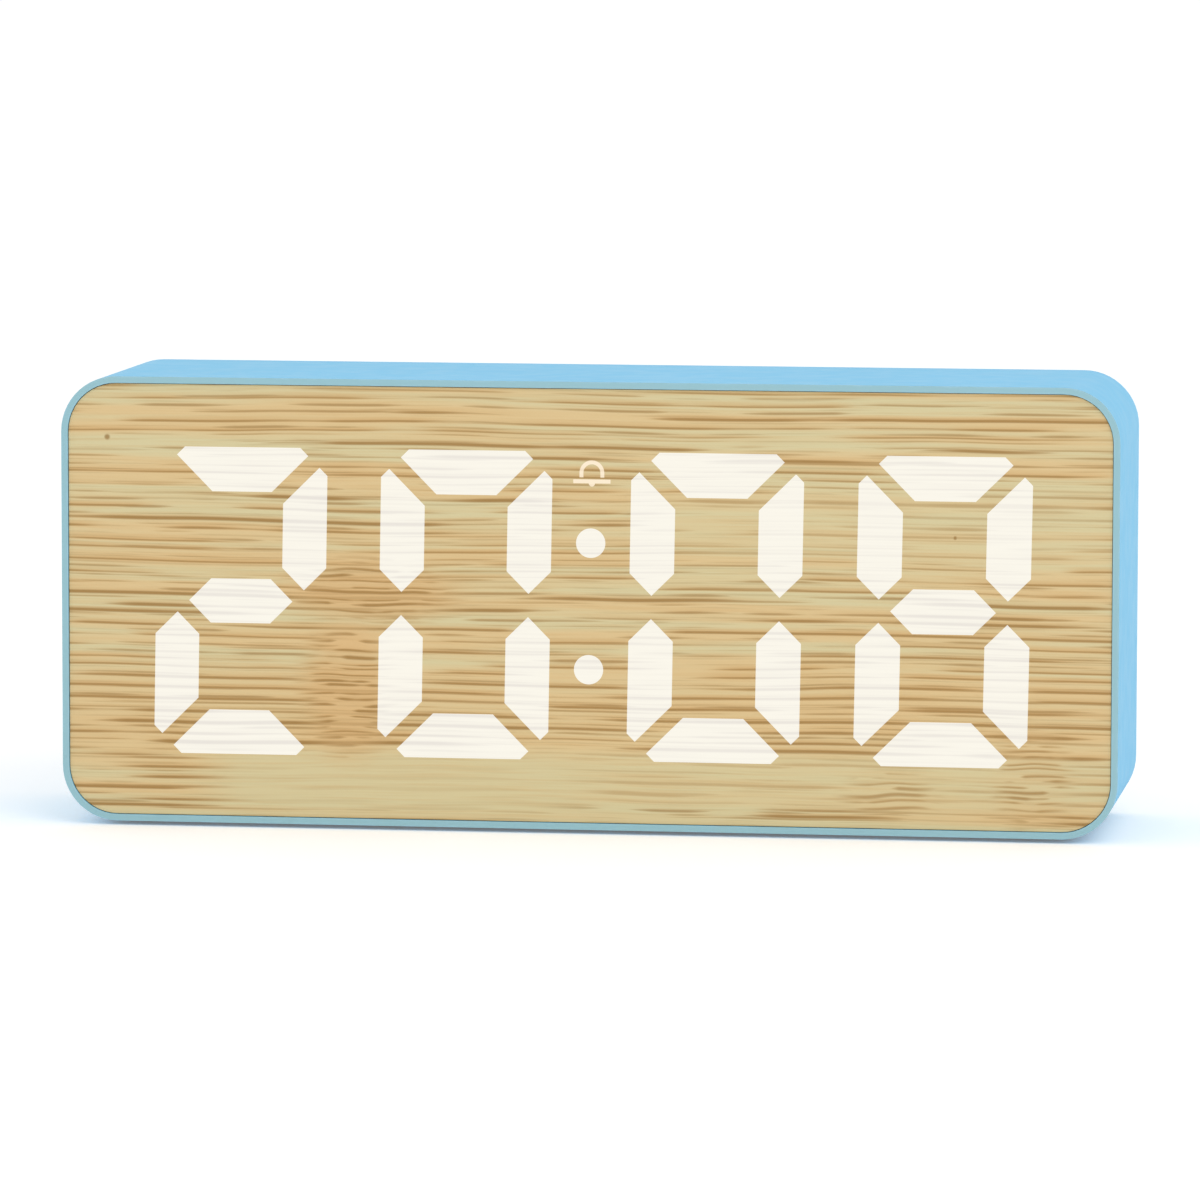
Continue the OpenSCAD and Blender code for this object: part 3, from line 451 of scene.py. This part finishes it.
def case_plastic(name, colour, roughness, pebble_mm, depth_mm, lip_shade=None):
    """Moulded plastic whose edges have been rubbed pale, with painted shade in a greyer tone on its front
    lip if a tone is given.
    """
    s = Shader(name)
    base = mottled(s, colour, share=0.98, grain_mm=24.0)
    if lip_shade:
        # Painted shade: the front face of the lip is mixed towards the greyer tone
        base = s.mix(s.ramp(s.y, LIP_SHADE_START_Y, LIP_SHADE_FULL_Y, 0.0, LIP_SHADE_SHARE), base, lip_shade)
    base = s.mix(s.math("MULTIPLY", rubbed_edges(s), RUB_SHARE), base, shaded(colour, RUB_PALER))
    pebbled(s, pebble_mm, depth_mm)
    return s.finish(Base_Color=base, Roughness=uneven(s, roughness), Specular_IOR_Level=0.12)


def drawn_lines(s, stretch):
    """Noise that is stretched into lines: the larger the value, the finer the noise that way."""
    lines = s.add("VectorMath", operation="MULTIPLY")
    s.feed(lines.inputs[0], s.place)
    s.feed(lines.inputs[1], stretch)
    return s.noise(lines.outputs["Vector"], detail=3.0)


def metal(name, colour, roughness=0.3, stretch=(1.0, 1.0, 14.0)):
    """Plated metal with fine draw lines and a little tarnish."""
    s = Shader(name)
    lines = drawn_lines(s, stretch)
    clean = s.ramp(s.noise(s.place, 0.6, 3.0), 0.35, 0.7)
    s.bump(lines, depth_mm=0.01, strength=0.4)
    return s.finish(Base_Color=s.mix(clean, shaded(colour, 0.8), colour), Metallic=1.0,
                    Roughness=s.ramp(lines, *NOISE_SPAN, roughness - 0.08, roughness + 0.1))


def part_metal(name, colour, bare, metal_colour, roughness=0.4):
    """A coated piece that is bare metal where bare(s) is 1."""
    s = Shader(name)
    share = bare(s)
    lines = drawn_lines(s, (6.0, 6.0, 6.0))
    s.bump(lines, depth_mm=0.012, strength=0.5)
    coat = mottled(s, colour, share=0.85, grain_mm=5.0)
    return s.finish(Base_Color=s.mix(share, coat, metal_colour), Metallic=share,
                    Roughness=s.ramp(lines, *NOISE_SPAN, roughness - 0.1, roughness + 0.08))


# Places of the CAD's pieces in the row frame, in mm

# Middle of the battery bay, distance between its cells, and the ends of a cell as measured from that
# middle towards its nub
BAY_X, MID_Z = -38.0, 34.75
CELL_PITCH = 11.0
CELL_NUB_END, CELL_FLAT_END = 24.15, -19.55
# Middle of one button, distance to the next, and radius and floor of the signs that are cut into them
BUTTON_X, BUTTON_Z, BUTTON_PITCH = 17.5, 42.75, 13.0
SIGN_R, SIGN_FLOOR_Y = 2.3, 18.5
# Middle of the row of wires and distance between them
WIRE_X, WIRE_PITCH = 52.0, 2.5
# Middle of the USB tongue, and the distance between its contacts and their width
USB_X, USB_CONTACT_PITCH, USB_CONTACT_WIDTH = 24.0, 0.5, 0.28
# Depths where the bare legs of the chips end, and where the steel on the switches and the bare tops of the
# capacitors start
LEGS_END_Y, SWITCH_COVER_Y, CAPACITOR_TOP_Y = -8.49, 11.7, -1.52

SLEEVE, SLEEVE_BAND = tone(225, 228, 230), tone(70, 128, 92)
# Start of the coloured end of a cell's sleeve, and the middle and edge of the thin ring before it
BAND_START, RING_AT, RING_EDGE = 12.0, 11.2, (0.45, 0.35)
# Thickness of the bare ends of a cell, and where the crimp of its sleeve starts and is full
BARE_END, CRIMP_START, CRIMP_FULL = 0.02, 1.2, 0.4
CAP, CAP_SIGN = tone(238, 240, 241), tone(92, 128, 148)
# Radius of the part of a cap that thumbs have polished, and its roughness in the middle and outside
THUMB_R, THUMB_ROUGHNESS = 3.6, (0.34, 0.46)
MASK, TRACK, PAD = tone(28, 86, 50), tone(44, 122, 72), tone(206, 176, 104)
WIRE_TONES = (tone(190, 46, 42), tone(40, 40, 44), tone(232, 198, 70), tone(66, 132, 84),
              tone(58, 96, 170), tone(226, 226, 222))
LEAD_LOW, LEAD_HIGH = tone(36, 36, 38), tone(188, 40, 36)
PHOSPHOR_DEEP, PHOSPHOR_PALE = tone(236, 206, 110), tone(250, 236, 176)


def along_cell(s):
    """Distance along a cell from the middle of the bay towards its nub."""
    off_middle = s.math("ABSOLUTE", s.math("SUBTRACT", s.z, MID_Z))
    outer = s.math("GREATER_THAN", off_middle, CELL_PITCH / 2)
    way = s.math("SUBTRACT", s.math("MULTIPLY", outer, 2.0), 1.0)
    return s.math("MULTIPLY", s.math("SUBTRACT", s.x, BAY_X), way)


def cell_sleeve():
    s = Shader("cell_sleeve")
    u = along_cell(s)
    sleeve = s.mix(s.math("GREATER_THAN", u, BAND_START), SLEEVE, SLEEVE_BAND)
    from_ring = s.math("ABSOLUTE", s.math("SUBTRACT", u, RING_AT))
    sleeve = s.mix(s.ramp(from_ring, *RING_EDGE), sleeve, SLEEVE_BAND)
    ends = s.math("MAXIMUM", s.math("GREATER_THAN", u, CELL_NUB_END - BARE_END),
                  s.math("LESS_THAN", u, CELL_FLAT_END + BARE_END))
    crimp = s.math("MAXIMUM", s.ramp(u, CELL_NUB_END - CRIMP_START, CELL_NUB_END - CRIMP_FULL),
                   s.ramp(u, CELL_FLAT_END + CRIMP_START, CELL_FLAT_END + CRIMP_FULL))
    wrinkles = s.math("MULTIPLY", s.noise(s.place, 1.6, 2.0), crimp)
    s.bump(wrinkles, depth_mm=0.06, strength=0.5)
    roughness = uneven(s, 0.32, spread=0.02, grain_mm=9.0)
    return s.finish(Base_Color=s.mix(ends, sleeve, STEEL), Metallic=ends, Roughness=roughness)


def button_cap():
    s = Shader("button_cap")
    u = s.math("WRAP", s.math("SUBTRACT", s.x, BUTTON_X), BUTTON_PITCH / 2, -BUTTON_PITCH / 2)
    w = s.math("SUBTRACT", s.z, BUTTON_Z)
    away = s.math("SQRT", s.math("ADD", s.math("MULTIPLY", u, u), s.math("MULTIPLY", w, w)))
    sunk = s.math("LESS_THAN", s.y, SIGN_FLOOR_Y)
    sign = s.math("MULTIPLY", s.math("LESS_THAN", away, SIGN_R), sunk)
    pebbled(s, size_mm=0.3, depth_mm=0.01)
    base = s.mix(sign, mottled(s, CAP, share=0.97), CAP_SIGN)
    return s.finish(Base_Color=base, Roughness=s.ramp(away, 0.0, THUMB_R, *THUMB_ROUGHNESS))


def solder_mask():
    s = Shader("solder_mask")
    flat = s.vector(s.x, s.z, 0.0)
    tracks = s.add("TexBrick", offset=0.37, squash=1.6, squash_frequency=3)
    s.fill(tracks, Vector=flat, Scale=1.0, Mortar_Size=0.16, Mortar_Smooth=0.2,
           Brick_Width=9.0, Row_Height=1.7)
    track = tracks.outputs["Fac"]
    pads = s.add("TexVoronoi", feature="F1")
    s.fill(pads, Vector=flat, Scale=0.22)
    pad = s.ramp(pads.outputs["Distance"], 0.16, 0.12)
    base = s.mix(track, mottled(s, MASK, share=0.9), TRACK)
    base = s.mix(pad, base, PAD)
    s.bump(s.math("MAXIMUM", track, pad), depth_mm=0.03, strength=0.6)
    return s.finish(Base_Color=base, Metallic=pad, Roughness=uneven(s, 0.34))


def insulated(s, colour):
    """The soft sleeve of a wire."""
    s.bump(s.noise(s.place, 1.4, 2.0), depth_mm=0.03, strength=0.4)
    return s.finish(Base_Color=colour, Roughness=uneven(s, 0.42))


def wire_colours():
    s = Shader("wire_sleeve")
    wires = len(WIRE_TONES)
    step = s.math("DIVIDE", s.math("SUBTRACT", s.x, WIRE_X), WIRE_PITCH)
    step = s.math("ADD", step, wires / 2)
    chosen = s.add("ValToRGB")
    chosen.color_ramp.interpolation = "CONSTANT"
    stops = chosen.color_ramp.elements
    while len(stops) < wires:
        stops.new(1.0)
    for i, (stop, colour) in enumerate(zip(stops, WIRE_TONES)):
        stop.position, stop.color = i / wires, colour
    s.fill(chosen, Fac=s.math("DIVIDE", step, wires))
    return insulated(s, chosen.outputs["Color"])


def lead_colours():
    s = Shader("lead_sleeve")
    return insulated(s, s.mix(s.math("GREATER_THAN", s.z, MID_Z), LEAD_LOW, LEAD_HIGH))


def phosphor():
    s = Shader("phosphor")
    glow = s.cloud(1.5, 2.0)
    s.bump(glow, depth_mm=0.02, strength=0.4)
    return s.finish(Base_Color=s.mix(glow, PHOSPHOR_DEEP, PHOSPHOR_PALE), Roughness=uneven(s, 0.3),
                    Emission_Color=tone(255, 244, 214), Emission_Strength=0.6)


def milky():
    s = Shader("milky_acrylic")
    pebbled(s, size_mm=0.5, depth_mm=0.01, strength=0.4)
    return s.finish(Base_Color=mottled(s, tone(240, 240, 236), share=0.97), Roughness=uneven(s, 0.3),
                    Transmission_Weight=0.25)


def in_front_of(y):
    """For part_metal: bare in front of a depth."""
    return lambda s: s.math("LESS_THAN", s.y, y)


def behind(y):
    """For part_metal: bare behind a depth."""
    return lambda s: s.math("GREATER_THAN", s.y, y)


def on_contacts(s):
    """For part_metal: bare on the row of contacts of the tongue."""
    half = USB_CONTACT_PITCH / 2
    stripe = s.math("WRAP", s.math("SUBTRACT", s.x, USB_X), half, -half)
    return s.math("LESS_THAN", s.math("ABSOLUTE", stripe), USB_CONTACT_WIDTH / 2)


# Dressing of the CAD nodes

DIGITS = ("hour_tens", "hour_units", "minute_tens", "minute_units")
BUTTONS = ("mode", "up", "down", "alarm")
WELD_M = 1e-6
FLAT_ANGLE, EDGE_ANGLE = math.radians(1.0), math.radians(35.0)
SMOOTHING_STEPS = 2
# What the smoothing takes off the spring wire all round
WIRE_LOSS_MM = 0.026


def dress(material, *names):
    for name in names:
        data = nodes[name].data
        data.materials.clear()
        data.materials.append(material)


def joined(name):
    """A CAD node whose faces are joined along their edges by a modifier, leaving its own mesh alone."""
    piece = nodes[name]
    piece.modifiers.new("weld", "WELD").merge_threshold = WELD_M
    return piece


def soften(width_mm, segments, *names):
    """Rounds the sharp edges of CAD nodes as a mould does."""
    for name in names:
        piece = joined(name)
        plain = piece.modifiers.new("plain", "DECIMATE")
        plain.decimate_type = "DISSOLVE"
        plain.angle_limit = FLAT_ANGLE
        bevel = piece.modifiers.new("bevel", "BEVEL")
        bevel.width, bevel.segments = width_mm * MM, segments
        bevel.limit_method, bevel.angle_limit = "ANGLE", EDGE_ANGLE
        bevel.harden_normals = True
        piece.modifiers.new("normals", "WEIGHTED_NORMAL").keep_sharp = True


def smooth_wire(name, lost_mm):
    """Rounds a wire that the CAD gives with few facets, and gives back the thickness that this takes off."""
    piece = joined(name)
    rounded = piece.modifiers.new("round", "SUBSURF")
    rounded.levels = rounded.render_levels = SMOOTHING_STEPS
    plumped = piece.modifiers.new("plump", "DISPLACE")
    plumped.strength, plumped.mid_level = lost_mm * MM, 0.0


def add_surfaces():
    # The case's front lip takes the painted shade
    dress(case_plastic("sky_plastic", SKY, 0.5, pebble_mm=0.35, depth_mm=0.012, lip_shade=LIP_SHADE), "case_shell")
    dress(case_plastic("cover_plastic", SKY, 0.55, pebble_mm=0.7, depth_mm=0.05),
          "rear_cover", "battery_door")
    dress(bamboo(), "bamboo_face")
    dress(lit("lit_segment", tone(252, 248, 236), tone(206, 198, 196)),
          *(f"{place}_segments" for place in DIGITS), "colon_dots")
    dress(lit("lit_mark", tone(255, 238, 210), tone(226, 198, 160)), "alarm_mark")
    dress(milky(), "diffuser_panel")
    dress(moulded("white_plastic", tone(240, 240, 238), 0.6), "segment_reflector")
    dress(phosphor(), "segment_leds")
    dress(solder_mask(), "display_board", "key_board")
    dress(part_metal("chip_epoxy", INK, in_front_of(LEGS_END_Y), STEEL), "controller_chip", "driver_chips")
    dress(part_metal("switch_plastic", INK, behind(SWITCH_COVER_Y), STEEL), "switch_bodies")
    dress(part_metal("capacitor_sleeve", tone(52, 60, 96), behind(CAPACITOR_TOP_Y), STEEL), "capacitors")
    dress(moulded("nylon", tone(234, 230, 216), 0.5), "display_header", "key_header")
    dress(wire_colours(), "harness_wires")
    dress(lead_colours(), "battery_leads")
    dress(metal("plated_steel", STEEL), "board_screws", "cover_screws", "key_board_screws", "crystal")
    dress(metal("spring_steel", STEEL, 0.25, stretch=(5.0, 5.0, 5.0)), "contact_springs")
    dress(metal("contact_plating", tone(206, 192, 150), 0.3, stretch=(2.0, 16.0, 2.0)), "contact_plates")
    dress(metal("socket_shell", STEEL, 0.28, stretch=(3.0, 12.0, 3.0)), "usb_socket")
    dress(part_metal("usb_contacts", INK, on_contacts, tone(222, 186, 104), 0.35), "usb_tongue")
    dress(cell_sleeve(), "battery_cells")
    dress(moulded("plunger_plastic", INK, 0.5), *(f"plunger_{b}" for b in BUTTONS))
    dress(button_cap(), *(f"button_{b}" for b in BUTTONS))
    dress(moulded("buzzer_plastic", tone(30, 30, 32), 0.35), "buzzer")
    dress(moulded("rubber", tone(44, 44, 46), 0.85, pebble_mm=0.25, depth_mm=0.03, shine=0.3),
          "rubber_feet")


def add_rounding():
    soften(0.4, 4, "case_shell")
    soften(0.3, 3, "rear_cover", "battery_door", "rubber_feet")
    soften(0.12, 2, "cover_screws", "usb_socket", "buzzer", *(f"button_{b}" for b in BUTTONS))
    soften(0.25, 3, "battery_cells")
    smooth_wire("contact_springs", WIRE_LOSS_MM)


add_camera()
add_world()
add_floor()
add_softbox("key", **KEY_LAMP)
add_surfaces()
add_rounding()

scene = bpy.context.scene
scene.view_settings.view_transform = "Standard"
